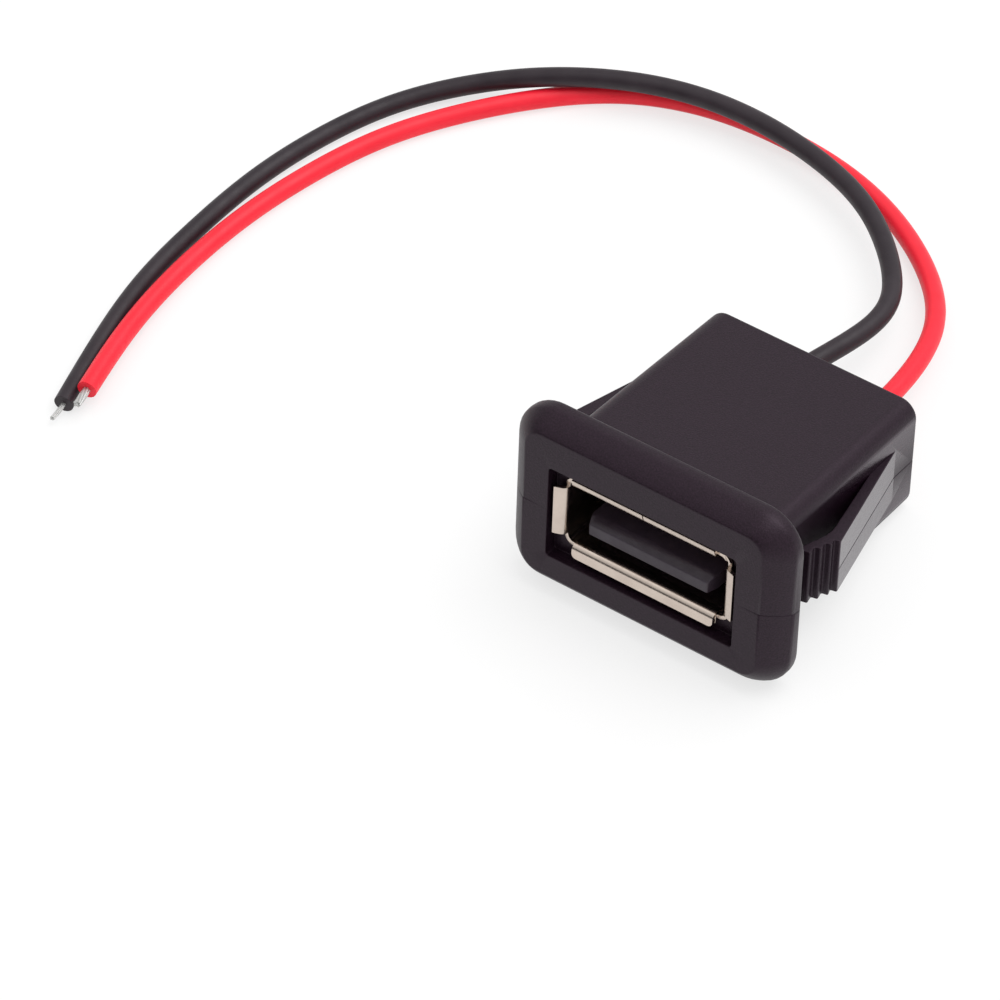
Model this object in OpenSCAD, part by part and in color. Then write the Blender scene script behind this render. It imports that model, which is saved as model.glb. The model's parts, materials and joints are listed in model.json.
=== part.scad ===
// Panel-mount USB-A socket with a red and a black wire.
// The socket is drawn with X to the right seen from the front, Y from the flange's face into the socket,
// and Z up from the axis of its mouth. at_rest() then lays it down on the lower edges of flange and body.

/* [Flange] */
// Width of the flange
flange_w = 21.6; // [20:0.1:26]
// Height of the flange
flange_h = 14; // [12.5:0.1:18]
// Thickness of the flange
flange_t = 2.6; // [2.2:0.1:4]
// Corner radius of the flange
flange_r = 3.2; // [2:0.1:4.5]
// How far the bevelled front edge runs in from the flange's rim
edge_w = 1.5; // [0.5:0.05:1.8]
// How deep the bevelled front edge goes
edge_d = 1.75; // [0.5:0.05:2]
// How far the bevel bows out, as the angle between its middle and its ends
edge_bow = 13; // [4:1:20]

/* [Body] */
// Width of the body at the flange
body_w = 16.9; // [16:0.1:19]
// Height of the body at the flange
body_h = 9; // [8.4:0.1:11.5]
// Radius of the body's long edges
body_r = 1.3; // [0.6:0.1:2]
// How far each side wall leans in towards the rear
side_draft = 0.25; // [0:0.05:0.5]
// How far the top and the bottom lean in towards the rear
face_draft = 0.15; // [0:0.05:0.3]
// Bevel round the rear wall
rear_bevel = 0.25; // [0.1:0.05:0.5]
// Length of the room between the shell's rear end and the rear wall
room_l = 3.2; // [2.9:0.1:5]
// Thickness of the rear wall
rear_wall = 2.2; // [1.6:0.1:2.4]

/* [Snap wings] */
// Height of a wing
wing_h = 4; // [2.5:0.1:6]
// Thickness of a wing at its knee, measured across the socket
wing_t = 0.8; // [0.5:0.05:1]
// Thickness of a wing at the middle of its arm
arm_t = 0.62; // [0.4:0.02:1]
// Thickness of a wing's toothed end
tip_t = 1; // [0.8:0.05:1.2]
// How far a wing's knee stands out from the body's widest width
wing_out = 2.15; // [1.6:0.05:3]
// Distance of a wing's knee from the back of the flange
wing_knee = 4.6; // [4:0.1:7]
// Distance of a wing's root from the rear wall
wing_root = 2.65; // [1:0.05:3.5]
// Length of the solid root, up to the end of the slot behind the wing
root_l = 0.6; // [0.4:0.05:2.5]
// Number of ratchet teeth
teeth = 4; // [2:1:5]
// Distance between teeth, along the socket
tooth_pitch = 0.74; // [0.5:0.02:0.8]
// How far each tooth stands in from the one before
tooth_in = 0.31; // [0.1:0.01:0.4]
// Depth of a tooth's ledge
tooth_cut = 0.46; // [0.2:0.02:0.5]
// How far a tooth's ledge slopes towards the flange
tooth_ledge = 0.2; // [0.1:0.02:0.4]

/* [Shell] */
// Width of the socket's mouth
mouth_w = 12.5; // [12:0.05:13]
// Height of the socket's mouth
mouth_h = 5.12; // [4.8:0.02:5.6]
// Thickness of the sheet metal
sheet_t = 0.3; // [0.2:0.01:0.35]
// Inside radius of the shell's long corners
shell_r = 0.5; // [0.3:0.05:0.8]
// Distance of the shell's rear end from the flange's face
shell_rear = 14; // [12:0.1:14.2]
// Width of the seam where the sheet's edges meet
seam_w = 0.08; // [0.04:0.01:0.2]

/* [Flared lips] */
// How far the lips of the two narrow sides reach out
side_lip = 0.85; // [0.6:0.01:1]
// How far the lips of the two broad sides reach out
broad_lip = 0.63; // [0.5:0.01:0.8]
// Angle that a lip is bent through
lip_angle = 70; // [50:1:85]
// Bend radius of a lip, on its front face
lip_bend = 0.5; // [0.4:0.05:0.6]
// How far the lips stand behind the flange's face
lip_back = 0.2; // [0:0.05:0.4]
// Corner radius of a lip
lip_r = 0.45; // [0.2:0.05:0.6]
// How much shorter a lip is than the flat of its wall
lip_trim = 0.1; // [0:0.05:0.4]
// Depth of the window in the flange that takes the lips
window_d = 1; // [0.9:0.05:1.6]
// Room round the lips in that window
window_gap = 0.3; // [0.15:0.05:0.4]

/* [Spring leaves] */
// Width of a leaf
leaf_w = 1.8; // [1.2:0.1:2.4]
// Length of a leaf
leaf_l = 5.2; // [4:0.1:5.5]
// Distance of a leaf's root from the flange's face
leaf_y = 3.6; // [2.5:0.1:4]
// How far a leaf bows into the mouth
leaf_bow = 0.4; // [0.2:0.05:0.45]
// Where a leaf bends back, as a share of its length
leaf_bend = 0.7; // [0.5:0.05:0.8]
// Width of the slot round a leaf
leaf_gap = 0.35; // [0.2:0.05:0.5]
// Distance between the two leaves of a broad side
leaf_pitch = 6; // [5:0.1:7.5]

/* [Tongue and contacts] */
// Width of the tongue
tongue_w = 9.9; // [9.4:0.05:11.1]
// Thickness of the tongue
tongue_t = 1.35; // [1.2:0.01:1.9]
// Gap between the tongue and the shell's wall below it
tongue_gap = 1.21; // [0.6:0.01:1.3]
// Distance of the tongue's nose from the flange's face
nose_y = 0.95; // [0.6:0.05:2]
// Length of the tapered nose
nose_l = 0.7; // [0.4:0.05:1.6]
// How far the nose tapers in on each side
nose_side = 0.25; // [0.1:0.05:0.8]
// How far the nose slopes down from the top of the tongue
nose_face = 0.45; // [0.2:0.05:0.7]
// Width of the bevel along the tongue's upper edges
ridge_w = 0.45; // [0.2:0.05:0.8]
// Height of that bevel
ridge_h = 0.15; // [0.05:0.05:0.4]
// Length of the insulator's base
base_l = 3.5; // [2.5:0.1:4]
// Width of a contact
contact_w = 1; // [0.8:0.05:1.2]
// Thickness of a contact
contact_t = 0.25; // [0.15:0.01:0.3]
// Distance between the two power contacts
power_pitch = 7; // [6.6:0.1:7.4]
// Distance between the two data contacts
data_pitch = 2; // [1.8:0.1:2.4]
// How deep a contact is sunk into the tongue
contact_sink = 0.25; // [0.1:0.01:0.28]
// Distance of a contact's front end from the tongue's nose
contact_back = 2.7; // [2:0.1:3.5]
// Length of a contact's raised arch
arch_l = 3.2; // [2.4:0.1:4]
// Height of a contact's raised arch
arch_h = 0.4; // [0.2:0.05:0.5]
// Gap between the power contacts' tails and the wires' insulation
tail_gap = 0.7; // [0.4:0.05:0.9]
// Length of the data contacts' tails behind the base
data_tail = 1; // [0.6:0.1:1.6]

/* [Wires] */
// Diameter over a wire's insulation
wire_d = 1.4; // [1.1:0.05:1.6]
// Diameter of a wire's twisted strands
strand_d = 0.6; // [0.4:0.02:0.7]
// Distance between the wires where they leave the body
wire_pitch = 6.4; // [6:0.1:7.2]
// How far the insulation reaches into the room behind the contacts
wire_in = 0.3; // [0.1:0.05:0.4]
// Length of the tinned strands at a wire's free end
tip_l = 1.5; // [0.5:0.1:4]
// Radius of the solder on a contact's tail
solder_r = 0.5; // [0.4:0.02:0.6]

/* [Clearances] */
// Gap between the pressed-in pieces and their seats
fit_gap = 0.05; // [0.02:0.01:0.1]
// Room round the contacts' tails behind the base
tail_room = 0.7; // [0.6:0.05:0.9]

/* [Hidden] */
$fn = 48;
cut = 0.5;
slice = 0.01;

// Depth of the whole moulding, and the body's taper from inside the flange to the rear bevel
room_y = shell_rear + room_l;
depth = room_y + rear_wall;
body_y = flange_t / 2;
rest_y = depth - rear_bevel;

// Resting attitude: the flange's back edge and the body's rear edge both touch the surface
rear_w = body_w - 2 * side_draft;
rear_h = body_h - 2 * face_draft;
tilt = atan2((flange_h - rear_h) / 2, rest_y - flange_t);
lift = flange_t * sin(tilt) + flange_h / 2 * cos(tilt);
front_end = min([for (p = flange_section(flange_h / 2)) p.y * cos(tilt) - p.x * sin(tilt)]);
rear_end = depth * cos(tilt) + (rear_h / 2 - rear_bevel) * sin(tilt);
origin_y = (front_end + rear_end) / 2;

// Heights and depths that the inner pieces share
tongue_z = -mouth_h / 2 + tongue_gap;
tongue_top = tongue_z + tongue_t;
contact_z = tongue_top - contact_sink;
contact_y = nose_y + contact_back;
base_y = shell_rear - base_l;
wire_z = contact_z - strand_d / 2;
wire_y = room_y - wire_in;
power_end = wire_y - tail_gap;
data_end = shell_rear + data_tail;

// Wire routes after they leave the body, lying on the surface, black over red where they cross
red_points = [
    [3.18, 15.54, 2.7], [2.11, 21.6, 2], [-1.45, 26.22, 1], [-6.81, 29.88, 0.7],
    [-12.4, 31.84, 0.7], [-18.57, 32.43, 0.7], [-24.49, 32.09, 0.7], [-30.12, 30.13, 0.7],
    [-34.78, 26.48, 0.7], [-38.99, 21.72, 0.7], [-42.2, 16.77, 0.7], [-44.26, 10.56, 0.7],
    [-45.36, 5.04, 0.75], [-45.62, -1.16, 0.9], [-44.99, -7.42, 1.25], [-43.4, -13.62, 1.55]
];
black_points = [
    [-3.28, 12.62, 3.2], [-1.67, 17.54, 2.9], [-1.37, 22.08, 2.6], [-5.98, 26.93, 2.3],
    [-10.28, 29.63, 2.3], [-16.56, 31.21, 2.3], [-22.51, 31.59, 2.3], [-28.26, 30.34, 2.45],
    [-34.07, 27.6, 2.3], [-39.16, 25.14, 1], [-43.31, 20.57, 0.7], [-45.58, 14.92, 0.7],
    [-46.95, 9.1, 0.7], [-47.29, 2.95, 0.7], [-47.3, -2.96, 0.7], [-46.12, -8.83, 0.7],
    [-44.49, -14.93, 0.7]
];
red_route = concat(wire_start(1), red_points);
black_route = concat(wire_start(-1), black_points);
wire_sides = 8;
rings_per_span = 2;

// Placing helpers

function rest_point(p) = [
    p.x,
    p.y * cos(tilt) + p.z * sin(tilt) - origin_y,
    p.z * cos(tilt) - p.y * sin(tilt) + lift
];

module at_rest() {
    translate([0, -origin_y, lift])
        rotate([-tilt, 0, 0])
            children();
}

// Extrudes an outline drawn in X and Z from one depth to another
module along_y(from, to) {
    translate([0, from, 0])
        rotate([-90, 0, 0])
            linear_extrude(to - from)
                children();
}

// Extrudes an outline drawn in Y and Z across the middle
module along_x(width) {
    rotate([90, 0, 90])
        linear_extrude(width, center = true)
            children();
}

module both_sides() {
    children();
    mirror([1, 0, 0])
        children();
}

// Turns what is drawn on the right-hand wall onto the upper and the lower wall
module broad_sides() {
    for (turn = [-90, 90])
        rotate([0, turn, 0])
            children();
}

module rounded_rect(w, h, r) {
    square([w - 2 * r, h], center = true);
    square([w, h - 2 * r], center = true);
    for (x = [-1, 1], y = [-1, 1])
        translate([x * (w / 2 - r), y * (h / 2 - r)])
            circle(r);
}

// Housing

// Half of the flange's section, from its middle to the rim, with a bevel that bows out a little
function flange_section(half) =
    let (steps = 6, mean = atan2(edge_d, edge_w), first = mean - edge_bow,
         bow_r = norm([edge_w, edge_d]) / (2 * sin(edge_bow)))
    concat([[0, 0]],
           [for (k = [0:steps])
               let (a = first + 2 * edge_bow * k / steps)
               [half - edge_w, 0] + bow_r * [sin(a) - sin(first), cos(first) - cos(a)]],
           [[half, flange_t], [0, flange_t]]);

module flange_bar(half, length) {
    linear_extrude(length, center = true)
        both_sides()
            polygon(flange_section(half));
}

// Plate with its bevelled front edge, as two crossing bars and four turned corners
module flange() {
    flange_bar(flange_w / 2, flange_h - 2 * flange_r);
    rotate([0, 90, 0])
        flange_bar(flange_h / 2, flange_w - 2 * flange_r);
    for (x = [-1, 1], z = [-1, 1])
        translate([x * (flange_w / 2 - flange_r), 0, z * (flange_h / 2 - flange_r)])
            rotate([-90, 0, 0])
                rotate_extrude()
                    polygon(flange_section(flange_r));
}

module body_section(y, w, h) {
    translate([0, y, 0])
        rotate([-90, 0, 0])
            linear_extrude(slice)
                rounded_rect(w, h, body_r, $fn = 32);
}

// Tapered block behind the flange, with its rear edge bevelled
module body_block() {
    hull() {
        body_section(body_y, body_w, body_h);
        body_section(rest_y - slice, rear_w, rear_h);
        body_section(depth - slice, rear_w - 2 * rear_bevel, rear_h - 2 * rear_bevel);
    }
}

// Half width of the body at a depth behind the flange
function side_x(y) = body_w / 2 - side_draft * (y - body_y) / (rest_y - body_y);

// Plan of one wing: root on the body's side, straight arm to the knee, then the stepped teeth
module wing_outline() {
    root_y = depth - wing_root;
    slot_y = root_y - root_l;
    knee = [body_w / 2 + wing_out, flange_t + wing_knee];
    middle_y = (slot_y + knee.y) / 2;
    arm_slope = (side_x(root_y) - knee.x) / (root_y - knee.y);
    arm_x = knee.x + arm_slope * (middle_y - knee.y);
    bend = (tip_t - wing_t) / (tooth_in / tooth_pitch - arm_slope);
    tip = knee - (teeth - 1) * [tooth_in, tooth_pitch];
    inside = side_x(depth) - wing_t;
    polygon([
        [inside, root_y],
        [side_x(root_y), root_y],
        for (k = [0:teeth - 1]) each tooth(knee - k * [tooth_in, tooth_pitch]),
        [tip.x - tip_t, tip.y - tooth_ledge],
        [knee.x - wing_t + arm_slope * bend, knee.y + bend],
        [arm_x - arm_t, middle_y],
        [side_x(slot_y), slot_y],
        [inside, slot_y]
    ]);
}

function tooth(corner) = [corner, corner - [tooth_cut, tooth_ledge]];

// Pocket for the shell, with the window that its lips open into
module shell_pocket() {
    along_y(-cut, window_d)
        square([mouth_w + 2 * (side_lip + window_gap), mouth_h + 2 * (broad_lip + window_gap)],
               center = true);
    along_y(0, shell_rear + fit_gap)
        rounded_rect(mouth_w + 2 * (sheet_t + fit_gap), mouth_h + 2 * (sheet_t + fit_gap),
                     shell_r + sheet_t + fit_gap);
}

// Room for the contacts' tails, and the two holes that the wires leave by
module tail_pocket() {
    room_w = power_pitch + contact_w + 2 * tail_room;
    room_low = wire_z - strand_d / 2 - tail_room;
    room_high = contact_z + contact_t + tail_room;
    translate([-room_w / 2, shell_rear, room_low])
        cube([room_w, room_l, room_high - room_low]);
    for (side = [-1, 1])
        translate([side * wire_pitch / 2, room_y - cut, wire_z])
            rotate([-90, 0, 0])
                cylinder(h = rear_wall + 2 * cut, d = wire_d + 2 * fit_gap);
}

module housing() {
    color([0.11, 0.105, 0.11])
        at_rest()
            difference() {
                union() {
                    flange();
                    body_block();
                    both_sides()
                        linear_extrude(wing_h, center = true)
                            wing_outline();
                }
                shell_pocket();
                tail_pocket();
            }
}

// Shell

// Length of a lip's flat part, and where its bend starts, for a given reach
function lip_flat(reach) = (reach - lip_bend * (1 - cos(lip_angle))) / sin(lip_angle);
function lip_start(reach) = lip_back + lip_bend * sin(lip_angle) + lip_flat(reach) * cos(lip_angle);
tube_y = max(lip_start(side_lip), lip_start(broad_lip));

// Points along one face of a bent lip, from the tube outwards
function lip_face(half, reach, inset) =
    let (steps = 6, centre = [half + lip_bend, lip_start(reach)], r = lip_bend - inset,
         edge = lip_flat(reach) * [sin(lip_angle), -cos(lip_angle)],
         arc = [for (k = [0:steps]) centre - r * [cos(k * lip_angle / steps), sin(k * lip_angle / steps)]])
    concat([[half + inset, tube_y + cut]], arc, [arc[steps] + edge]);

function reversed(list) = [for (k = [len(list) - 1:-1:0]) list[k]];

module lip(half, flat_w, reach) {
    width = flat_w - 2 * lip_trim;
    far = half + reach + sheet_t;
    intersection() {
        linear_extrude(width, center = true)
            polygon(concat(lip_face(half, reach, 0), reversed(lip_face(half, reach, sheet_t))));
        along_y(-cut, tube_y + 2 * cut)
            rounded_rect(2 * far, width, lip_r);
    }
}

// Slot in a wall round a leaf
module leaf_slot(half) {
    width = leaf_w + 2 * leaf_gap;
    translate([half - cut, leaf_y, -width / 2])
        cube([sheet_t + 2 * cut, leaf_l + leaf_gap, width]);
}

// Leaf that bows into the mouth and turns back at its free end
module leaf(half) {
    bend = leaf_y + leaf_bend * leaf_l;
    linear_extrude(leaf_w, center = true)
        polygon([
            [half, leaf_y - cut], [half, leaf_y],
            [half - leaf_bow, bend], [half - leaf_bow / 2, leaf_y + leaf_l],
            [half - leaf_bow / 2 + sheet_t, leaf_y + leaf_l], [half - leaf_bow + sheet_t, bend],
            [half + sheet_t, leaf_y], [half + sheet_t, leaf_y - cut]
        ]);
}

module leaf_places() {
    for (side = [-1, 1])
        translate([0, 0, side * leaf_pitch / 2])
            children();
}

module socket_shell() {
    color([0.79, 0.75, 0.69])
        at_rest()
            difference() {
                union() {
                    difference() {
                        along_y(tube_y, shell_rear)
                            rounded_rect(mouth_w + 2 * sheet_t, mouth_h + 2 * sheet_t, shell_r + sheet_t);
                        along_y(tube_y - cut, shell_rear + cut)
                            rounded_rect(mouth_w, mouth_h, shell_r);
                        both_sides()
                            leaf_slot(mouth_w / 2);
                        broad_sides()
                            leaf_places()
                                leaf_slot(mouth_h / 2);
                    }
                    both_sides() {
                        lip(mouth_w / 2, mouth_h - 2 * shell_r, side_lip);
                        leaf(mouth_w / 2);
                    }
                    broad_sides() {
                        lip(mouth_h / 2, mouth_w - 2 * shell_r, broad_lip);
                        leaf_places()
                            leaf(mouth_h / 2);
                    }
                }
                translate([-seam_w / 2, -cut, 0])
                    cube([seam_w, shell_rear + 2 * cut, mouth_h]);
            }
}

// Insulator and contacts

// Tongue as what its plan, its side view and its section have in common
module tongue() {
    half = tongue_w / 2;
    end_y = base_y + cut;
    intersection() {
        translate([0, 0, tongue_z])
            linear_extrude(tongue_t)
                both_sides()
                    polygon([
                        [0, nose_y], [half - nose_side, nose_y], [half, nose_y + nose_l],
                        [half, end_y], [0, end_y]
                    ]);
        along_x(tongue_w)
            polygon([
                [nose_y, tongue_z], [end_y, tongue_z], [end_y, tongue_top],
                [nose_y + nose_l, tongue_top], [nose_y, tongue_top - nose_face]
            ]);
        along_y(nose_y, end_y)
            both_sides()
                polygon([
                    [0, -tongue_z], [half, -tongue_z], [half, ridge_h - tongue_top],
                    [half - ridge_w, -tongue_top], [0, -tongue_top]
                ]);
    }
}

// Groove in the tongue and slot in the base for one contact
module contact_slot(x) {
    width = contact_w + 2 * fit_gap;
    translate([x - width / 2, contact_y - fit_gap, contact_z])
        cube([width, shell_rear - contact_y + cut, contact_t + fit_gap]);
}

module insulator() {
    color([0.13, 0.13, 0.14])
        at_rest()
            difference() {
                union() {
                    tongue();
                    along_y(base_y, shell_rear)
                        rounded_rect(mouth_w - 2 * fit_gap, mouth_h - 2 * fit_gap, shell_r);
                }
                for (side = [-1, 1]) {
                    contact_slot(side * power_pitch / 2);
                    contact_slot(side * data_pitch / 2);
                }
            }
}

// Stamped strip with a raised arch that the plug presses on, and a tail behind the base
module contact(x, end) {
    slope = arch_l / 3;
    lower = [
        [contact_y, contact_z], [contact_y + slope, contact_z + arch_h],
        [contact_y + 2 * slope, contact_z + arch_h], [contact_y + arch_l, contact_z],
        [end, contact_z]
    ];
    upper = [for (p = reversed(lower)) p + [0, contact_t]];
    color([0.85, 0.68, 0.35])
        at_rest()
            translate([x, 0, 0])
                along_x(contact_w)
                    polygon(concat(lower, upper));
}

module contact_vbus() {
    contact(power_pitch / 2, power_end);
}

module contact_data_minus() {
    contact(data_pitch / 2, data_end);
}

module contact_data_plus() {
    contact(-data_pitch / 2, data_end);
}

module contact_ground() {
    contact(-power_pitch / 2, power_end);
}

// Stripped end of a wire under a power contact's tail, with its drop of solder
module solder_joint(side) {
    front = shell_rear + fit_gap + solder_r;
    back = power_end - solder_r;
    color([0.72, 0.73, 0.75])
        at_rest() {
            translate([side * wire_pitch / 2, front, wire_z])
                rotate([-90, 0, 0])
                    cylinder(h = wire_y - front, d = strand_d);
            intersection() {
                translate([side * power_pitch / 2, front, contact_z])
                    rotate([-90, 0, 0]) {
                        cylinder(h = back - front, r = solder_r);
                        sphere(solder_r);
                        translate([0, 0, back - front])
                            sphere(solder_r);
                    }
                translate([side * power_pitch / 2, front, contact_z - solder_r])
                    cube([4 * solder_r, 2 * depth, 2 * solder_r], center = true);
            }
        }
}

module vbus_solder_joint() {
    solder_joint(1);
}

module ground_solder_joint() {
    solder_joint(-1);
}

// Wires

// Points of a wire inside the rear wall, before its route on the surface
function wire_start(side) = [
    for (y = [wire_y, depth]) rest_point([side * wire_pitch / 2, y, wire_z])
];

// Cubic B-spline that starts and ends on the first and the last point of a route
function spline_point(q, k, t) =
    ((1 - t) * (1 - t) * (1 - t) * q[k] + (3 * t * t * t - 6 * t * t + 4) * q[k + 1]
     + (3 * t + 3 * t * t - 3 * t * t * t + 1) * q[k + 2] + t * t * t * q[k + 3]) / 6;

function wire_path(route) =
    let (last = len(route) - 1,
         q = concat([2 * route[0] - route[1]], route, [2 * route[last] - route[last - 1]]))
    concat([for (k = [0:last - 1], j = [0:rings_per_span - 1]) spline_point(q, k, j / rings_per_span)],
           [route[last]]);

function unit(v) = v / norm(v);

function heading(path, k) = unit(path[min(k + 1, len(path) - 1)] - path[max(k - 1, 0)]);

function ring(centre, ahead) =
    let (across = unit(cross(ahead, [0, 0, 1])), up = cross(across, ahead))
    [for (k = [0:wire_sides - 1])
        let (a = (k + 0.5) * 360 / wire_sides)
        centre + wire_d / 2 * (cos(a) * across + sin(a) * up)];

module wire(route) {
    path = wire_path(route);
    count = len(path);
    points = [for (k = [0:count - 1]) each ring(path[k], heading(path, k))];
    walls = [
        for (k = [0:count - 2], j = [0:wire_sides - 1])
            let (a = k * wire_sides + j, b = k * wire_sides + (j + 1) % wire_sides)
            [a, b, b + wire_sides, a + wire_sides]
    ];
    start_cap = [for (j = [wire_sides - 1:-1:0]) j];
    end_cap = [for (j = [0:wire_sides - 1]) (count - 1) * wire_sides + j];
    polyhedron(points, concat([start_cap], walls, [end_cap]));
}

module red_wire() {
    color([0.8, 0.05, 0.06])
        wire(red_route);
}

module black_wire() {
    color([0.06, 0.06, 0.065])
        wire(black_route);
}

// Tinned strands that stand out of a wire's free end
module wire_tip(route) {
    path = wire_path(route);
    last = len(path) - 1;
    ahead = heading(path, last);
    color([0.76, 0.77, 0.78])
        translate(path[last])
            rotate([0, acos(ahead.z), atan2(ahead.y, ahead.x)]) {
                cylinder(h = tip_l - strand_d / 2, d = strand_d);
                translate([0, 0, tip_l - strand_d / 2])
                    sphere(d = strand_d);
            }
}

module red_wire_tip() {
    wire_tip(red_route);
}

module black_wire_tip() {
    wire_tip(black_route);
}

housing();
socket_shell();
insulator();
contact_vbus();
contact_data_minus();
contact_data_plus();
contact_ground();
vbus_solder_joint();
ground_solder_joint();
red_wire();
black_wire();
red_wire_tip();
black_wire_tip();
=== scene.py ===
"""Panel-mount USB-A socket with a red and a black wire: the looks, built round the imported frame."""
import json
import math

import bmesh
import bpy
from mathutils import Matrix, Vector


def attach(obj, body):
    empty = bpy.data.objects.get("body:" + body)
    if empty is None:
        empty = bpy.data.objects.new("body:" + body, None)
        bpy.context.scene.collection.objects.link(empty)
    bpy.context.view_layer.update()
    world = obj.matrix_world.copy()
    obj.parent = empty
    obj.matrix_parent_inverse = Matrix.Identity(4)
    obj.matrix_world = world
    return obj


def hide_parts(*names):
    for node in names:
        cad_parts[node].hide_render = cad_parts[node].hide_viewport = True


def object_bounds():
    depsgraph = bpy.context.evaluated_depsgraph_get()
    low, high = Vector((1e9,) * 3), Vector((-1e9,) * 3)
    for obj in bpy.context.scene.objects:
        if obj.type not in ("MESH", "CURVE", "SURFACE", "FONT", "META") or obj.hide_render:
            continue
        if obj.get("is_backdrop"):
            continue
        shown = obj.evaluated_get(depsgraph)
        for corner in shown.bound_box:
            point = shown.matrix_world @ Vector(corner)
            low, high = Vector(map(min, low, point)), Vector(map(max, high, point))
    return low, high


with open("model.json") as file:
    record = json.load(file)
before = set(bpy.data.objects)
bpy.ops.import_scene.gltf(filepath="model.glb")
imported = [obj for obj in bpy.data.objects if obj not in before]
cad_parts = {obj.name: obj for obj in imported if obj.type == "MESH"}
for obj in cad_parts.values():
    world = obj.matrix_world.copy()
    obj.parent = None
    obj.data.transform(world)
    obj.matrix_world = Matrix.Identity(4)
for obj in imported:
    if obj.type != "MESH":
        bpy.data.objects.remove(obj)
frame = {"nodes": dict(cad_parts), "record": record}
cad_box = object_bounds()
scene = bpy.context.scene
scene.view_settings.view_transform = "Standard"

MM = 0.001
# Edges that turn by more than this many degrees shade as sharp
SHARP_ANGLE = 35
# Points nearer to each other than this, in millimetres, become one
WELD = 0.001

# The socket's own frame, from the mouth's mount: X right, Y into the socket, Z up, in millimetres
mouth = next(m for m in frame["record"]["mounts"] if m["name"] == "plug_mouth")
INTO = -Vector(mouth["axis"]).normalized()
ACROSS = Vector((1, 0, 0))
SOCKET = Matrix.Translation(Vector(mouth["pos_m"])) @ Matrix(
    (ACROSS, INTO, ACROSS.cross(INTO))
).transposed().to_4x4() @ Matrix.Scale(MM, 4)

# Housing in millimetres: W, H, R, T and D are width, height, corner radius, thickness and depth
FLANGE_W, FLANGE_H, FLANGE_R, FLANGE_T = 21.9, 14.0, 2.9, 2.6
BODY_W, BODY_H, BODY_R = 16.9, 9.0, 1.3
REAR_W, REAR_H, REAR_Y = 16.4, 8.7, 19.4
WINDOW_W, WINDOW_TOP, WINDOW_BOTTOM, WINDOW_R, WINDOW_D = 14.8, 3.49, -3.84, 0.25, 1.0
POCKET_W, POCKET_H, POCKET_R, POCKET_Y = 13.2, 5.82, 0.85, 14.05
WING_TOP, WING_BOTTOM = 2.0, -2.3
PARTING_Z, PARTING_W, PARTING_D = -0.35, 0.12, 0.04

# Wires in millimetres: diameter, length of the bare tip, place in the rear wall and length inside it
WIRE_D = 1.4
TIP_L = 1.5
WIRE_X, WIRE_Z = 3.2, -0.55
WIRE_IN = 2.5


def socket_point(x, y, z):
    """A point of the socket's frame, in metres in the part's frame."""
    return SOCKET @ Vector((x, y, z))


def share(value, start, length):
    """How far a value has come along a range, from 0 to 1."""
    return min(max((value - start) / length, 0), 1)


def add_piece(name, mesh, material, node):
    """Links a mesh as a piece that rides on the part and stands for a node."""
    piece = bpy.data.objects.new(name, mesh)
    scene.collection.objects.link(piece)
    mesh.materials.clear()
    mesh.materials.append(material)
    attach(piece, "root")
    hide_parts(node)
    return piece


def even_shading(piece):
    """Lets a piece's large faces set its normals, so that they shade as flat beside the rounded edges."""
    piece.modifiers.new("normals", "WEIGHTED_NORMAL").keep_sharp = True


def shade(mesh):
    """Shades a mesh as smooth, but for its sharp edges."""
    mesh.shade_smooth()
    mesh.set_sharp_from_angle(angle=math.radians(SHARP_ANGLE))


def finished_mesh(name, bm):
    """A shaded mesh with outward normals."""
    bmesh.ops.recalc_face_normals(bm, faces=bm.faces)
    mesh = bpy.data.meshes.new(name)
    bm.to_mesh(mesh)
    bm.free()
    shade(mesh)
    return mesh


def loft(bm, rings):
    """A closed skin through rings of points, which all have the same count."""
    rings = [[bm.verts.new(p) for p in ring] for ring in rings]
    for low, high in zip(rings, rings[1:]):
        for k in range(len(low)):
            n = (k + 1) % len(low)
            bm.faces.new((low[k], low[n], high[n], high[k]))
    bm.faces.new(rings[0])
    bm.faces.new(rings[-1][::-1])
    return rings


# Camera

CAMERA_AIM = Vector((-14.85, -5.38, 0)) * MM
CAMERA_AZIMUTH, CAMERA_ELEVATION, CAMERA_ROLL = 40.81, 47.4, 5.76
CAMERA_DISTANCE = 446.8 * MM
CAMERA_NEAR = 10 * MM
CAMERA_LENS = 242.3


def make_camera():
    """The photograph's camera, aimed at a point on the floor."""
    data = bpy.data.cameras.new("camera")
    data.lens = CAMERA_LENS
    data.clip_start = CAMERA_NEAR
    camera = bpy.data.objects.new("camera", data)
    scene.collection.objects.link(camera)
    turn = Matrix.Rotation(math.radians(CAMERA_AZIMUTH), 4, "Z")
    lean = Matrix.Rotation(math.radians(90 - CAMERA_ELEVATION), 4, "X")
    roll = Matrix.Rotation(math.radians(-CAMERA_ROLL), 4, "Z")
    back = Matrix.Translation((0, 0, CAMERA_DISTANCE))
    camera.matrix_world = Matrix.Translation(CAMERA_AIM) @ turn @ lean @ roll @ back
    scene.camera = camera


make_camera()


# Materials, with noise scales in features per millimetre and bump depths in millimetres

# All plastics but the housing's: clouds in the colour and in the gloss, and the detail of the grain
CLOUD_SCALE, CLOUD_DETAIL = 0.5, 4
GLOSS_SCALE, GLOSS_DETAIL = 1.2, 5
GRAIN_DETAIL = 3
# Housing plastic: its grain, the tint of its reflections and the roughness of its coat
MOULD_SCALE, MOULD_DETAIL, MOULD_DEPTH = 9, 4, 0.018
MOULD_TINT = 1, 0.82, 0.97, 1
COAT_ROUGHNESS = 0.2
# The mesh's polish value at which that plastic is polished, above which the coat comes in
POLISHED = 0.5
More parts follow.
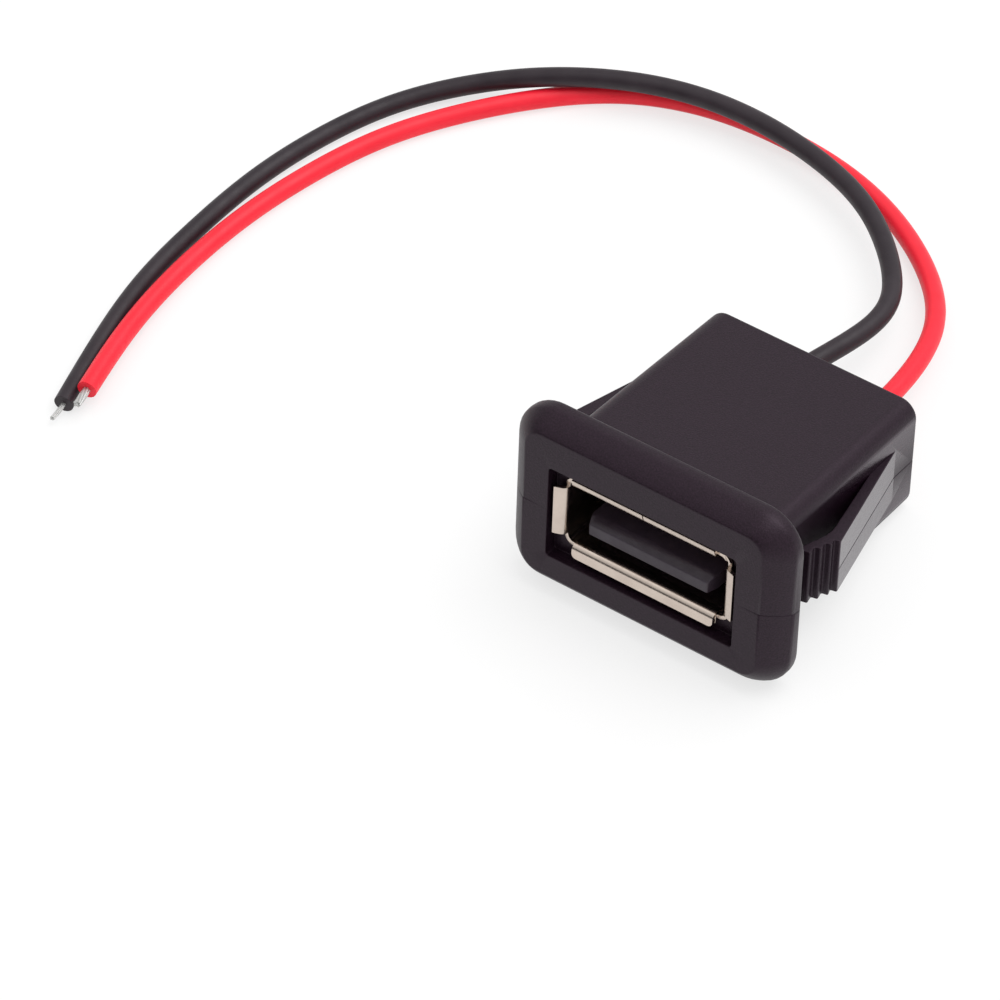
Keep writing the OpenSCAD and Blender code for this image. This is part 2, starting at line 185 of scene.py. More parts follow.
# Metals: marks in the surface, and clouds in the colour
MARK_SCALE, MARK_DETAIL, MARK_DEPTH = 6, 4, 0.002
TARNISH_SCALE, TARNISH_DETAIL = 0.8, 3
# How the marks are stretched: along the sheet's rolling direction, or not at all
ROLLED, UNROLLED = (1, 0.1, 1), (1, 1, 1)


def new_material(name):
    """A material with its node tree and its Principled shader."""
    material = bpy.data.materials.new(name)
    material.use_nodes = True
    return material, material.node_tree, material.node_tree.nodes["Principled BSDF"]


def add_node(tree, kind, **sockets):
    """A node with some of its inputs set."""
    node = tree.nodes.new(kind)
    for key, value in sockets.items():
        node.inputs[key].default_value = value
    return node


def noise(tree, scale, detail, stretch=UNROLLED):
    """A noise texture in object space."""
    place = tree.nodes.new("ShaderNodeTexCoord")
    mapping = add_node(tree, "ShaderNodeMapping", Scale=[s / MM for s in stretch])
    tree.links.new(place.outputs["Object"], mapping.inputs["Vector"])
    texture = add_node(tree, "ShaderNodeTexNoise", Scale=scale, Detail=detail)
    tree.links.new(mapping.outputs["Vector"], texture.inputs["Vector"])
    return texture.outputs["Fac"]


def ramp(tree, factor, low, high, start=0.3, end=0.7):
    """Maps a factor to values between two greys or colours."""
    node = tree.nodes.new("ShaderNodeValToRGB")
    for stop, place, value in zip(node.color_ramp.elements, (start, end), (low, high)):
        stop.position = place
        stop.color = (*value, 1) if hasattr(value, "__len__") else (value, value, value, 1)
    tree.links.new(factor, node.inputs["Fac"])
    return node.outputs["Color"]


def add_bump(tree, shader, factor, depth):
    """Gives a shader bumps of a depth."""
    node = add_node(tree, "ShaderNodeBump", Strength=1, Distance=depth * MM)
    tree.links.new(factor, node.inputs["Height"])
    tree.links.new(node.outputs["Normal"], shader.inputs["Normal"])


def plastic(name, dark, light, rough, specular, grain, grain_depth):
    """Plastic with a faint cloudy colour, uneven gloss and a fine grain."""
    material, tree, shader = new_material(name)
    clouds = noise(tree, CLOUD_SCALE, CLOUD_DETAIL)
    gloss = noise(tree, GLOSS_SCALE, GLOSS_DETAIL)
    tree.links.new(ramp(tree, clouds, dark, light), shader.inputs["Base Color"])
    tree.links.new(ramp(tree, gloss, *rough), shader.inputs["Roughness"])
    add_bump(tree, shader, noise(tree, grain, GRAIN_DETAIL), grain_depth)
    shader.inputs["Specular IOR Level"].default_value = specular
    return material


def moulded(name, dark, light, rough, specular, coat):
    """Housing plastic: rough and specular are (grained, polished) pairs, which the mesh's polish blends."""
    material, tree, shader = new_material(name)
    polish = tree.nodes.new("ShaderNodeAttribute")
    polish.attribute_name = "polish"
    level = polish.outputs["Fac"]
    for socket, values in (("Roughness", rough), ("Specular IOR Level", specular)):
        tree.links.new(ramp(tree, level, *values, 0, POLISHED), shader.inputs[socket])
    tree.links.new(ramp(tree, level, 0, coat, POLISHED, 1), shader.inputs["Coat Weight"])
    grain = noise(tree, MOULD_SCALE, MOULD_DETAIL)
    tree.links.new(ramp(tree, grain, dark, light), shader.inputs["Base Color"])
    add_bump(tree, shader, grain, MOULD_DEPTH)
    shader.inputs["Specular Tint"].default_value = MOULD_TINT
    shader.inputs["Coat Roughness"].default_value = COAT_ROUGHNESS
    return material


def metal(name, dark, light, rough, stretch):
    """Plated or tinned metal with faint marks."""
    material, tree, shader = new_material(name)
    shader.inputs["Metallic"].default_value = 1
    marks = noise(tree, MARK_SCALE, MARK_DETAIL, stretch)
    tarnish = noise(tree, TARNISH_SCALE, TARNISH_DETAIL)
    tree.links.new(ramp(tree, tarnish, dark, light), shader.inputs["Base Color"])
    tree.links.new(ramp(tree, marks, *rough), shader.inputs["Roughness"])
    add_bump(tree, shader, marks, MARK_DEPTH)
    return material


housing_plastic = moulded(
    "housing_plastic", dark=(0.004, 0.001, 0.003), light=(0.016, 0.007, 0.014),
    rough=(0.42, 0.16), specular=(0.31, 0.75), coat=0.24,
)
tongue_plastic = plastic(
    "tongue_plastic", dark=(0.03, 0.02, 0.03), light=(0.04, 0.028, 0.042),
    rough=(0.35, 0.5), specular=0.45, grain=6, grain_depth=0.012,
)
red_pvc = plastic(
    "red_pvc", dark=(0.9, 0.01, 0.03), light=(0.96, 0.015, 0.038),
    rough=(0.4, 0.5), specular=0.4, grain=5, grain_depth=0.006,
)
black_pvc = plastic(
    "black_pvc", dark=(0.017, 0.01, 0.015), light=(0.027, 0.018, 0.024),
    rough=(0.45, 0.55), specular=0.38, grain=6, grain_depth=0.008,
)
nickel = metal(
    "nickel", dark=(0.58, 0.49, 0.43), light=(0.64, 0.55, 0.48), rough=(0.18, 0.26), stretch=ROLLED,
)
gold = metal(
    "gold", dark=(0.85, 0.6, 0.22), light=(0.9, 0.66, 0.28), rough=(0.2, 0.32), stretch=ROLLED,
)
tin = metal(
    "tin", dark=(0.52, 0.52, 0.51), light=(0.6, 0.6, 0.59), rough=(0.42, 0.56), stretch=UNROLLED,
)


# Wires

# Guide points of each wire from behind the rear wall to its end, in millimetres in the part's frame
RED_POINTS = [
    (3.18, 15.54, 2.7), (2.11, 21.6, 2), (-1.45, 26.22, 1), (-6.81, 29.88, 0.7),
    (-12.4, 31.84, 0.7), (-18.57, 32.43, 0.7), (-24.49, 32.09, 0.7), (-30.12, 30.13, 0.7),
    (-34.78, 26.48, 0.7), (-38.99, 21.72, 0.7), (-42.2, 16.77, 0.7), (-44.26, 10.56, 0.7),
    (-45.36, 5.04, 0.75), (-45.62, -1.16, 0.9), (-44.99, -7.42, 1.25), (-43.4, -13.62, 1.55),
]
BLACK_POINTS = [
    (-3.28, 12.62, 3.2), (-1.67, 17.54, 2.9), (-1.37, 22.08, 2.6), (-5.98, 26.93, 2.3),
    (-10.28, 29.63, 2.3), (-16.56, 31.21, 2.3), (-22.51, 31.59, 2.3), (-28.26, 30.34, 2.45),
    (-34.07, 27.6, 2.3), (-39.16, 25.14, 1), (-43.31, 20.57, 0.7), (-45.58, 14.92, 0.7),
    (-46.95, 9.1, 0.7), (-47.29, 2.95, 0.7), (-47.3, -2.96, 0.7), (-46.12, -8.83, 0.7),
    (-44.49, -14.93, 0.7),
]
STEPS_PER_SPAN, WIRE_SIDES = 12, 28
# The insulation's cut end: (distance from the end, how much thinner the radius is there)
WIRE_CUT = [(0.06, 0), (0.02, 0), (0, 0.02)]
# Strands that twist round a middle one: how far inside the insulation they start, the length of a full turn,
# their distance from the middle in radii of a strand, and the step by which their ends are staggered
STRANDS_ROUND = 6
STRAND_IN, STRAND_PITCH, STRAND_LAY, STRAND_STAGGER = 0.3, 7.0, 1.75, 0.02
STRAND_STEPS, STRAND_SIDES = 12, 10


def spline(points):
    """Points along the cubic B-spline that starts and ends on the first and the last point."""
    guide = [2 * points[0] - points[1], *points, 2 * points[-1] - points[-2]]
    path = []
    for k in range(len(points) - 1):
        for step in range(STEPS_PER_SPAN):
            t = step / STEPS_PER_SPAN
            weights = (1 - t) ** 3, 3 * t**3 - 6 * t**2 + 4, 3 * t + 3 * t**2 - 3 * t**3 + 1, t**3
            pulls = (weight * point for weight, point in zip(weights, guide[k:k + 4]))
            path.append(sum(pulls, Vector((0, 0, 0))) / 6)
    return path + [points[-1]]


def wire_path(side, points):
    """Centreline of a wire from inside the rear wall to its free end, in metres."""
    inside = [socket_point(side * WIRE_X, y, WIRE_Z) for y in (REAR_Y - WIRE_IN, REAR_Y)]
    return spline(inside + [Vector(p) * MM for p in points])


def headings(path):
    """Unit direction of a path at each of its points."""
    last = len(path) - 1
    return [(path[min(k + 1, last)] - path[max(k - 1, 0)]).normalized() for k in range(last + 1)]


def square_to(ahead):
    """The level direction and the upward one that are square to a heading."""
    across = ahead.cross(Vector((0, 0, 1))).normalized()
    return across, across.cross(ahead)


def sweep(bm, path, radii, sides):
    """Adds a closed tube along a path, with a radius at each point."""
    angles = [2 * math.pi * k / sides for k in range(sides)]
    rings = []
    for centre, ahead, radius in zip(path, headings(path), radii):
        across, up = square_to(ahead)
        rings.append([centre + radius * (math.cos(a) * across + math.sin(a) * up) for a in angles])
    loft(bm, rings)


def strand_paths(end, ahead, spread, bend):
    """Paths of a middle strand and those that twist round it, from just inside a wire's end."""
    across, up = square_to(ahead)
    for strand in range(STRANDS_ROUND + 1):
        # The strands take turns between four lengths
        reach = TIP_L - STRAND_STAGGER * (strand * 3 % 4)
        out = spread if strand else 0
        path = []
        for step in range(STRAND_STEPS + 1):
            along = -STRAND_IN + (reach + STRAND_IN) * step / STRAND_STEPS
            turn = 2 * math.pi * (strand / STRANDS_ROUND + along / STRAND_PITCH)
            swing = bend * max(along, 0) ** 2
            aside = out * math.cos(turn) + swing
            path.append(end + MM * (along * ahead + aside * across + out * math.sin(turn) * up))
        yield path


def make_wire(colour, side, points, material, strand_r, bend):
    """A wire with its insulation and its bare strands, from the rear wall to a loose end."""
    path = wire_path(side, points)
    ahead = headings(path)[-1]
    node = colour + "_wire"
    bm = bmesh.new()
    for strand in strand_paths(path[-1], ahead, STRAND_LAY * strand_r, bend):
        sweep(bm, strand, [strand_r * MM] * len(strand), STRAND_SIDES)
    tip = add_piece(colour + "_strands", finished_mesh(node + "_tip", bm), tin, node + "_tip")
    skin = path[:-1] + [path[-1] - back * MM * ahead for back, _ in WIRE_CUT]
    radii = [WIRE_D / 2 * MM] * (len(path) - 1) + [(WIRE_D / 2 - thinner) * MM for _, thinner in WIRE_CUT]
    bm = bmesh.new()
    sweep(bm, skin, radii, WIRE_SIDES)
    wire = add_piece(colour + "_insulation", finished_mesh(node, bm), material, node)
    length = sum((b - a).length for a, b in zip(path, path[1:]))
    socket_point(side * WIRE_X, REAR_Y, WIRE_Z)


make_wire("red", 1, RED_POINTS, red_pvc, strand_r=0.105, bend=0.02)
make_wire("black", -1, BLACK_POINTS, black_pvc, strand_r=0.065, bend=0.09)


# Housing, built in the socket's frame in millimetres

CORNER_STEPS, BEVEL_STEPS, ROUND_STEPS, LATHE_STEPS = 10, 6, 4, 32
# Bevel round the flange's front: width at the sides, the top and the bottom, depth, and bow in degrees
BEVEL_W, BEVEL_TOP, BEVEL_BOTTOM, BEVEL_D, BEVEL_BOW = 1.6, 1.1, 1.4, 1.62, 15
# Rounding of the edges, in the order in which the skin meets them from the pocket to the rear
POCKET_ROUND, WINDOW_ROUND, FRONT_ROUND, RIM_ROUND = 0.06, 0.08, 0.15, 0.25
BACK_ROUND, SEAT_ROUND, REAR_ROUND = 0.5, 0.15, 0.25
# Depths of the rings along the body, and how far the last ring lies inside the rear wall's outline
BODY_RINGS = 5, 8, 11, 14, 16.2
REAR_INSET = 1
# A section is (half width, half height, corner radius, depth, middle), and these steps move it or shrink it
DEEPER = Vector((0, 0, 0, 1, 0))
SMALLER = Vector((-1, -1, -1, 0, 0))

# A wing's plan, clockwise: (X, Y, rounding) of the root, the outer face with four teeth, the tip and the slot
KNEE_Y = 7.2
TOOTH_R, NOTCH_R = 0.15, 0.12
WING_PLAN = [
    (7.4, 17.25, 0), (8.18, 17.25, 0),
    (10.61, KNEE_Y, TOOTH_R), (10.15, 7.1, NOTCH_R),
    (10.35, 6.58, TOOTH_R), (9.88, 6.48, NOTCH_R),
    (10.04, 5.84, TOOTH_R), (9.57, 5.74, NOTCH_R),
    (9.73, 5.1, TOOTH_R), (9.26, 5, 0.1),
    (8.72, 4.9, 0.12), (9.62, 7.5, 0.8), (8.2, 14.2, 0), (7.4, 14.2, 0),
]
# Rounding of a wing's upper and lower rim, and the angles of its steps
WING_ROUND = 0.07
WING_ROUND_ANGLES = 0, 0.5, 1.0, math.pi / 2

# Room for the contacts' tails behind the pocket, and how far it reaches into the pocket
ROOM_W, ROOM_TOP, ROOM_BOTTOM, ROOM_Y, ROOM_OVERLAP = 9.4, 0.7, -1.55, 17.2, 0.05
# Holes for the wires: room round a wire and depth, and how far what cuts the rear wall stands out of it
HOLE_GAP, HOLE_D, CUT_LEAD = 0.005, 3, 1
# Lines on the rear wall: (start X, end X, Z)
REAR_LINES = [(-8.3, -3.9, -0.4), (3.9, 5.5, -0.4), (7.7, 8.3, -0.4), (-2.45, 2.45, -2.2)]
REAR_LINE_W = PARTING_W / 2
# Gate mark on the rear wall, a dimple with a ring round it: (radius, depth)
GATE_X, GATE_Z = 6.6, -0.3
GATE_PROFILE = [
    (0, 0.2), (0.2, 0.19), (0.36, 0.12), (0.44, 0.02), (0.7, 0.01),
    (0.76, 0.035), (0.92, 0.035), (1, 0), (1, -0.3), (0, -0.3),
]

# Polish of the walls: where it starts and over what depth it comes in, and its share on the rim and the rear
GLOSS_Y, GLOSS_L, RIM_GLOSS, REAR_GLOSS = 5, 9, 0.4, 0.5
# How squarely a wall faces outwards where its polish starts, and the span over which it comes in
FLAT_START, FLAT_SPAN = 0.955, 0.04
# How squarely a face looks sideways or back to count as a wing's outer face or as the rear wall
WING_FACING, REAR_FACING = 0.9, 0.7
# How far from the body's side a face has to be to count as a wing's
WING_CLEAR = 0.05


def side_x(y):
    """Half width of the body at a depth."""
    return BODY_W / 2 + (REAR_W - BODY_W) / 2 * (y - FLANGE_T) / (REAR_Y - FLANGE_T)


def section_ring(half_w, half_h, r, y, mid_z):
    """Outline of a section, with three points on each side at the parting line."""
    ring = []
    parting = PARTING_Z * share(y, 0, FLANGE_T)
    for quarter, (sx, sz) in enumerate([(1, 1), (-1, 1), (-1, -1), (1, -1)]):
        for k in range(CORNER_STEPS + 1):
            a = math.pi / 2 * (quarter + k / CORNER_STEPS)
            x = sx * (half_w - r) + r * math.cos(a)
            z = mid_z + sz * (half_h - r) + r * math.sin(a)
            ring.append(Vector((x, y, z)))
        if sx * sz < 0:
            ring += [Vector((sx * half_w, y, parting - sx * step * PARTING_W / 2)) for step in (1, 0, -1)]
    return ring


def rounded_path(corners):
    """Points of a path of (corner, rounding) pairs, with a curve at each corner that has a rounding."""
    path = []
    for k, (corner, rounding) in enumerate(corners):
        if not rounding:
            path.append(corner)
            continue
        beside = corners[k - 1][0], corners[(k + 1) % len(corners)][0]
        into, out = (corner.lerp(p, min(rounding / (p - corner).length, 0.5)) for p in beside)
        for step in range(ROUND_STEPS + 1):
            t = step / ROUND_STEPS
            path.append((1 - t) ** 2 * into + 2 * t * (1 - t) * corner + t * t * out)
    return path


def bevel_sections(rim):
    """Sections of the flange's bowed bevel, from the front face to the rim."""
    mean_h, rise = (BEVEL_TOP + BEVEL_BOTTOM) / 2, (BEVEL_TOP - BEVEL_BOTTOM) / 2
    outward = Vector((1, mean_h / BEVEL_W, 1, 0, rise / BEVEL_W))
    bow = math.radians(BEVEL_BOW)
    bow_r = math.hypot(BEVEL_W, BEVEL_D) / (2 * math.sin(bow))
    first = math.atan2(BEVEL_D, BEVEL_W) - bow
    for k in range(BEVEL_STEPS + 1):
        a = first + 2 * bow * k / BEVEL_STEPS
        out = bow_r * (math.sin(a) - math.sin(first)) - BEVEL_W
        depth = bow_r * (math.cos(first) - math.cos(a))
        yield rim + out * outward + depth * DEEPER


def housing_sections():
    """Sections of the housing's skin, from the pocket's end over the front to the rear."""
    pocket = Vector((POCKET_W / 2, POCKET_H / 2, POCKET_R, 0, 0))
    window_h, window_z = WINDOW_TOP - WINDOW_BOTTOM, (WINDOW_TOP + WINDOW_BOTTOM) / 2
    window = Vector((WINDOW_W / 2, window_h / 2, WINDOW_R, 0, window_z))
    rim = Vector((FLANGE_W / 2, FLANGE_H / 2, FLANGE_R, 0, 0))
    front, *bevel, bevel_end = bevel_sections(rim)
    body = Vector((BODY_W / 2, BODY_H / 2, BODY_R, FLANGE_T, 0))
    rear = Vector((REAR_W / 2, REAR_H / 2, BODY_R, REAR_Y, 0))
    return rounded_path([
        (pocket + POCKET_Y * DEEPER, 0),
        (pocket + WINDOW_D * DEEPER, POCKET_ROUND),
        (window + WINDOW_D * DEEPER, POCKET_ROUND),
        (window, WINDOW_ROUND),
        (front, FRONT_ROUND),
        *((section, 0) for section in bevel),
        (bevel_end, RIM_ROUND),
        (rim + FLANGE_T * DEEPER, BACK_ROUND),
        (body, SEAT_ROUND),
        *((body.lerp(rear, share(y, FLANGE_T, REAR_Y - FLANGE_T)), 0) for y in BODY_RINGS),
        (rear, REAR_ROUND),
        (rear + REAR_INSET * SMALLER, 0),
    ])


def housing_skin():
    """Flange, body and pocket in one skin, with the parting line as a groove."""
    bm = bmesh.new()
    rings = loft(bm, [section_ring(*section) for section in housing_sections()])
    bmesh.ops.recalc_face_normals(bm, faces=bm.faces)
    bm.normal_update()
    # The middle points of the parting line in each ring, and the first ring in front of the window
    left = 2 * (CORNER_STEPS + 1) + 1
    right = len(rings[0]) - 2
    front = 1 + 3 * (ROUND_STEPS + 1)
    for ring in rings[front:-1]:
        for vertex in (ring[left], ring[right]):
            vertex.co -= PARTING_D * vertex.normal
    return finished_mesh("moulding", bm)


def wing(side):
    """One snap wing, lofted from the top of its plan downwards, with rounded rims and the parting line."""
    plan = rounded_path([(Vector((x, y)), rounding) for x, y, rounding in WING_PLAN])
    inward = []
    for k in range(len(plan)):
        along = (plan[(k + 1) % len(plan)] - plan[k - 1]).normalized()
        inward.append(Vector((along.y, -along.x)))
    rim = [(WING_ROUND * (1 - math.cos(a)), WING_ROUND * (1 - math.sin(a))) for a in WING_ROUND_ANGLES]
    levels = [(WING_TOP - down, inset) for down, inset in rim]
    levels += [(PARTING_Z + step * PARTING_W / 2, 0) for step in (1, 0, -1)]
    levels += [(WING_BOTTOM + up, inset) for up, inset in rim[::-1]]
    outlines = [
        [(side * (p.x + inset * v.x), p.y + inset * v.y, z) for p, v in zip(plan, inward)]
        for z, inset in levels
    ]
    bm = bmesh.new()
    rings = loft(bm, outlines)
    # The parting line shows as a groove along the outer face, from the root to the first tooth
    for vertex in rings[len(rim) + 1][1:3]:
        vertex.co.x -= side * PARTING_D
    return finished_mesh("wing", bm)


def block(low, high):
    """A block between two corners."""
    low, high = Vector(low), Vector(high)
    place = Matrix.Translation((low + high) / 2) @ Matrix.Diagonal((*(high - low), 1))
    bm = bmesh.new()
    bmesh.ops.create_cube(bm, size=1, matrix=place)
    return finished_mesh("block", bm)


def lathe(x, z, profile):
    """A solid turned round an axis along Y, from (radius, depth into the rear wall) points."""
    bm = bmesh.new()
    points = [bm.verts.new((x + r, REAR_Y - d, z)) for r, d in profile]
    edges = [bm.edges.new(pair) for pair in zip(points, points[1:])]
    bmesh.ops.spin(
        bm, geom=points + edges, cent=(x, 0, z), axis=(0, 1, 0), angle=2 * math.pi, steps=LATHE_STEPS
    )
    bmesh.ops.remove_doubles(bm, verts=bm.verts, dist=WELD)
    return finished_mesh("lathe", bm)


def carved(mesh, tools, operation):
    """The mesh with others joined to it or cut from it."""
    helpers = [bpy.data.objects.new("helper", m) for m in (mesh, *tools)]
    for helper in helpers:
        scene.collection.objects.link(helper)
    for tool in helpers[1:]:
        step = helpers[0].modifiers.new("step", "BOOLEAN")
        step.solver = "MANIFOLD"
        step.operation = operation
        step.object = tool
    evaluated = helpers[0].evaluated_get(bpy.context.evaluated_depsgraph_get())
    result = bpy.data.meshes.new_from_object(evaluated)
    for helper in helpers:
        bpy.data.objects.remove(helper)
    return result


def mark_polish(mesh):
    """Marks how polished the plastic is: the wings' outer faces most, then the side walls and the rear."""
    values = mesh.attributes.new("polish", "FLOAT", "CORNER").data
    for face in mesh.polygons:
        x, y, _ = face.center
        side = math.copysign(1, x)
        on_wing = abs(x) > side_x(y) + WING_CLEAR and y > FLANGE_T
        for k in face.loop_indices:
            normal = mesh.corner_normals[k].vector
            facing = max(normal.x * side, normal.y)
            if on_wing:
                values[k].value = 1 if face.normal.x * side > WING_FACING and y > KNEE_Y else 0
            else:
                depth = mesh.vertices[mesh.loops[k].vertex_index].co.y
                gloss = share(depth, GLOSS_Y, GLOSS_L) if depth > FLANGE_T else RIM_GLOSS
                gloss *= REAR_GLOSS if normal.y > REAR_FACING else 1
                values[k].value = POLISHED * gloss * share(facing, FLAT_START, FLAT_SPAN)


def make_housing():
    """The skin joined to the wings, then cut by the tails' room, the wires' holes and the rear's marks."""
    mesh = carved(housing_skin(), [wing(1), wing(-1)], "UNION")
    hole_r = WIRE_D / 2 + HOLE_GAP
    hole_profile = [(0, HOLE_D), (hole_r, HOLE_D), (hole_r, -CUT_LEAD), (0, -CUT_LEAD)]
    tools = [
        block((-ROOM_W / 2, POCKET_Y - ROOM_OVERLAP, ROOM_BOTTOM), (ROOM_W / 2, ROOM_Y, ROOM_TOP)),
        *(lathe(side * WIRE_X, WIRE_Z, hole_profile) for side in (-1, 1)),
        lathe(GATE_X, GATE_Z, GATE_PROFILE),
    ]
    for start, end, z in REAR_LINES:
        low = start, REAR_Y - PARTING_D, z - REAR_LINE_W / 2
        high = end, REAR_Y + CUT_LEAD, z + REAR_LINE_W / 2
        tools.append(block(low, high))
    mesh = carved(mesh, tools, "DIFFERENCE")
    shade(mesh)
    mark_polish(mesh)
    mesh.transform(SOCKET)
    even_shading(add_piece("moulded_housing", mesh, housing_plastic, "housing"))


make_housing()


# Shell and insulator: the CAD shapes with their edges rounded off, in the socket's frame

# Passes of rounding: (nearest Y, furthest Y, width)
SHELL_PASSES = [(-1, 20, 0.03)]
TONGUE_PASSES = [(0.9, 2, 0.1), (2, 20, 0.05)]
PASS_STEPS, PASS_PROFILE = 4, 0.5
# Faces that turn by less than this many degrees are joined before the rounding
FLAT_ANGLE = 0.5
# Lower lip's strip: half width, corner radius, thickness, where its bend starts, how far it reaches behind
# that, and the radius, angle and flat part of the bend
LIP_HALF_W, LIP_R, LIP_T = 5.6, 0.35, 0.25
LIP_Y, LIP_Z, LIP_LEAD = 0.9, -2.35, 0.9
LIP_BEND, LIP_ANGLE, LIP_FLAT, LIP_STEPS = 0.5, 88, 0.55, 10
# By what share the CAD's lower lip is set back, behind the strip
LOWER_LIP_SET = 0.7
# How far the upper lip is set forward, and by what share it is stretched upwards
UPPER_LIP_SET, UPPER_LIP_STRETCH = 0.16, 0.15


def softened(node, passes, extra):
    """A node's shape with its sharp edges rounded off in passes, and then changed by any extra function."""
    bm = bmesh.new()
    bm.from_mesh(frame["nodes"][node].data)
    bm.transform(SOCKET.inverted())
    bmesh.ops.remove_doubles(bm, verts=bm.verts, dist=WELD)
    bmesh.ops.dissolve_limit(bm, angle_limit=math.radians(FLAT_ANGLE), verts=bm.verts, edges=bm.edges)
    for near, far, width in passes:
        edges = [
            e for e in bm.edges
            if len(e.link_faces) == 2 and e.calc_face_angle() > math.radians(SHARP_ANGLE)
            and all(near <= v.co.y <= far for v in e.verts)
        ]
        bmesh.ops.bevel(
            bm, geom=edges, offset=width, segments=PASS_STEPS, profile=PASS_PROFILE,
            affect="EDGES", clamp_overlap=False,
        )
    if extra:
        extra(bm)
    bm.transform(SOCKET)
    return finished_mesh(node, bm)


def lip_profile(flat):
    """Section (Y, Z) of the lower lip's strip, for a length of its flat part."""
    bend = [math.radians(LIP_ANGLE) * k / LIP_STEPS for k in range(LIP_STEPS + 1)]
    front = [(LIP_Y - LIP_BEND * math.sin(a), LIP_Z - LIP_BEND * (1 - math.cos(a))) for a in bend]
    down, ahead = math.sin(bend[-1]), math.cos(bend[-1])
    bend_end = front[-1]
    flat_end = bend_end[0] - flat * ahead, bend_end[1] - flat * down
    back = [(y + LIP_T * down, z - LIP_T * ahead) for y, z in (flat_end, bend_end)]
    return [(LIP_Y + LIP_LEAD, LIP_Z - LIP_T), *front, flat_end, *back]


def add_lip(bm):
    """Sets the upper lip forward and the lower lip back, and adds the lower lip's strip."""
    for vertex in bm.verts:
        if vertex.co.z < LIP_Z and vertex.co.y < LIP_Y:
            vertex.co.y += LOWER_LIP_SET * (LIP_Y - vertex.co.y)
        elif vertex.co.z > -LIP_Z and vertex.co.y < LIP_Y:
            vertex.co.y -= UPPER_LIP_SET
            vertex.co.z += UPPER_LIP_STRETCH * (vertex.co.z + LIP_Z)
    rings = []
    for k in range(2 * LIP_STEPS + 1):
        a = math.pi * k / (2 * LIP_STEPS)
        x = math.copysign(LIP_HALF_W - LIP_R * (1 - abs(math.cos(a))), math.cos(a))
        rings.append([(x, y, z) for y, z in lip_profile(LIP_FLAT - LIP_R * (1 - math.sin(a)))])
    loft(bm, rings)


def add_soft_piece(name, node, material, passes, extra=None):
    """A piece that stands for a node, with the node's edges rounded off."""
    even_shading(add_piece(name, softened(node, passes, extra), material, node))


add_soft_piece("sheet_shell", "socket_shell", nickel, SHELL_PASSES, add_lip)
add_soft_piece("tongue_insulator", "insulator", tongue_plastic, TONGUE_PASSES)


# CAD nodes that keep their shape

KEPT = {
    "contact_vbus": gold,
    "contact_data_minus": gold,
    "contact_data_plus": gold,
    "contact_ground": gold,
    "vbus_solder_joint": tin,
    "ground_solder_joint": tin,
}
for node, material in KEPT.items():
    mesh = frame["nodes"][node].data
    mesh.materials.clear()
    mesh.materials.append(material)


# Floor, light and world

# Half the floor's side in metres, and the share of its look that is plain white
FLOOR_SIZE = 3.0
FLOOR_GLOW = 0.7
FLOOR_COLOUR = 0.98, 0.98, 0.98, 1
FLOOR_ROUGHNESS = 0.9
WHITE = 1, 1, 1, 1
# World strength all round and in a dim patch, the patch's heading, and the cosines over which it comes in
WORLD_LEVEL = 0.84, 0.14
DIM_HEADING = -0.44, -0.87, 0.2
DIM_SPAN = 0.3, 0.9
# Distance and side of the lamps in metres
LAMP_DISTANCE, LAMP_SIZE = 0.6, 0.5


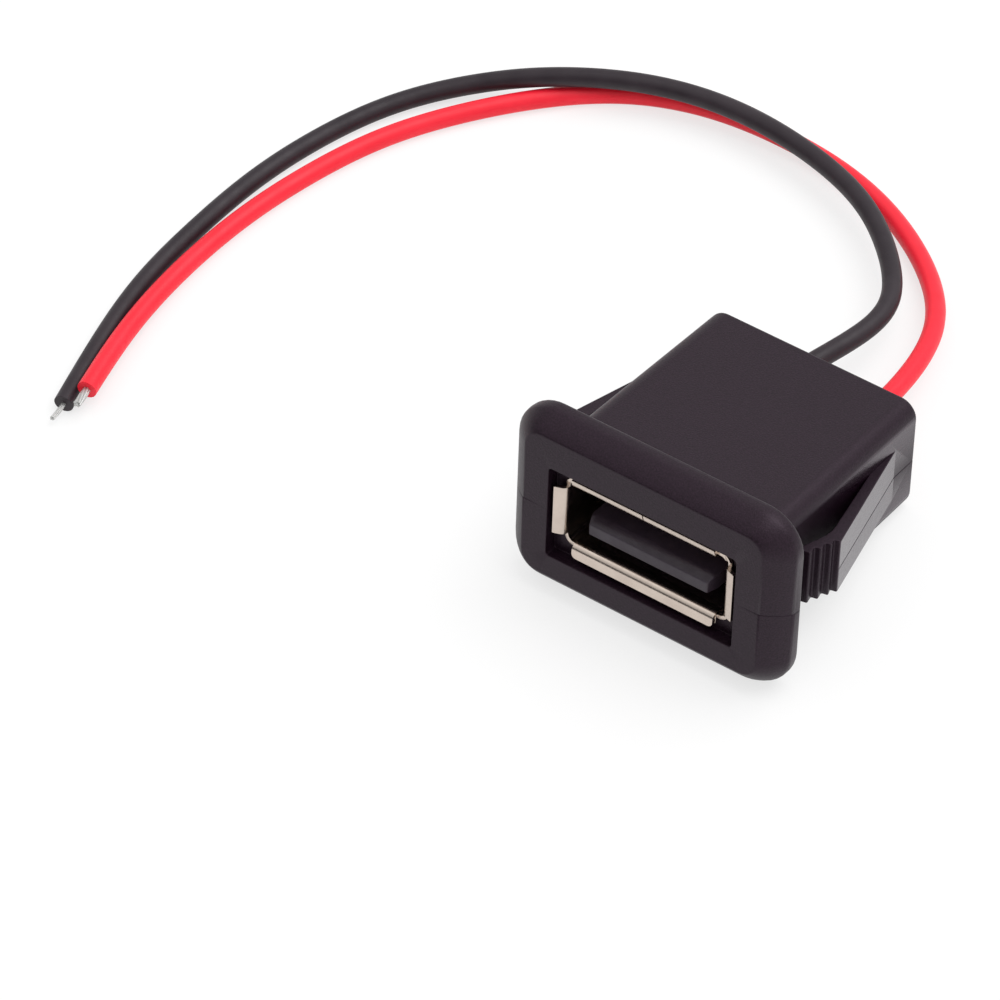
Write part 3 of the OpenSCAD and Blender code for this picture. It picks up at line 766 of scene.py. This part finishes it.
def make_floor():
    """A white floor that keeps the shadow and partly glows where the camera or a reflection sees it."""
    bm = bmesh.new()
    bmesh.ops.create_grid(bm, x_segments=1, y_segments=1, size=FLOOR_SIZE)
    mesh = bpy.data.meshes.new("floor")
    bm.to_mesh(mesh)
    bm.free()
    floor = bpy.data.objects.new("floor", mesh)
    scene.collection.objects.link(floor)
    material, tree, shader = new_material("floor_paper")
    shader.inputs["Base Color"].default_value = FLOOR_COLOUR
    shader.inputs["Roughness"].default_value = FLOOR_ROUGHNESS
    shader.inputs["Specular IOR Level"].default_value = 0
    glow = add_node(tree, "ShaderNodeEmission", Strength=1, Color=WHITE)
    mix = tree.nodes.new("ShaderNodeMixShader")
    path = tree.nodes.new("ShaderNodeLightPath")
    seen = path.outputs["Is Camera Ray"]
    for kind in ("Is Glossy Ray", "Is Transmission Ray"):
        either = tree.nodes.new("ShaderNodeMath")
        either.operation = "MAXIMUM"
        tree.links.new(seen, either.inputs[0])
        tree.links.new(path.outputs[kind], either.inputs[1])
        seen = either.outputs[0]
    glowing = tree.nodes.new("ShaderNodeMath")
    glowing.operation = "MULTIPLY"
    glowing.inputs[1].default_value = FLOOR_GLOW
    tree.links.new(seen, glowing.inputs[0])
    tree.links.new(glowing.outputs[0], mix.inputs["Fac"])
    tree.links.new(shader.outputs[0], mix.inputs[1])
    tree.links.new(glow.outputs[0], mix.inputs[2])
    tree.links.new(mix.outputs[0], tree.nodes["Material Output"].inputs["Surface"])
    mesh.materials.append(material)
    floor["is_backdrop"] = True


def make_world():
    """Light from all round, but for a dim patch low in front."""
    world = bpy.data.worlds.new("studio")
    world.use_nodes = True
    tree = world.node_tree
    place = tree.nodes.new("ShaderNodeTexCoord")
    heading = tree.nodes.new("ShaderNodeVectorMath")
    heading.operation = "DOT_PRODUCT"
    heading.inputs[1].default_value = DIM_HEADING
    tree.links.new(place.outputs["Generated"], heading.inputs[0])
    level = tree.nodes.new("ShaderNodeMapRange")
    for socket, value in zip(level.inputs[1:5], (*DIM_SPAN, *WORLD_LEVEL)):
        socket.default_value = value
    tree.links.new(heading.outputs["Value"], level.inputs["Value"])
    tree.links.new(level.outputs["Result"], tree.nodes["Background"].inputs["Strength"])
    tree.nodes["Background"].inputs["Color"].default_value = WHITE
    scene.world = world


def add_lamp(name, azimuth, elevation, power):
    """A soft square lamp that looks at the socket."""
    data = bpy.data.lights.new(name, "AREA")
    data.size = LAMP_SIZE
    data.energy = power
    lamp = bpy.data.objects.new(name, data)
    scene.collection.objects.link(lamp)
    a, e = math.radians(azimuth), math.radians(elevation)
    back = Vector((math.sin(a) * math.cos(e), -math.cos(a) * math.cos(e), math.sin(e)))
    lamp.location = back * LAMP_DISTANCE
    lamp.rotation_euler = back.to_track_quat("Z", "Y").to_euler()


make_floor()
make_world()
add_lamp("key", azimuth=140, elevation=65, power=2.0)
add_lamp("fill", azimuth=-45, elevation=50, power=0.45)

[[list(corner) for corner in box] for box in (cad_box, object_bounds())]
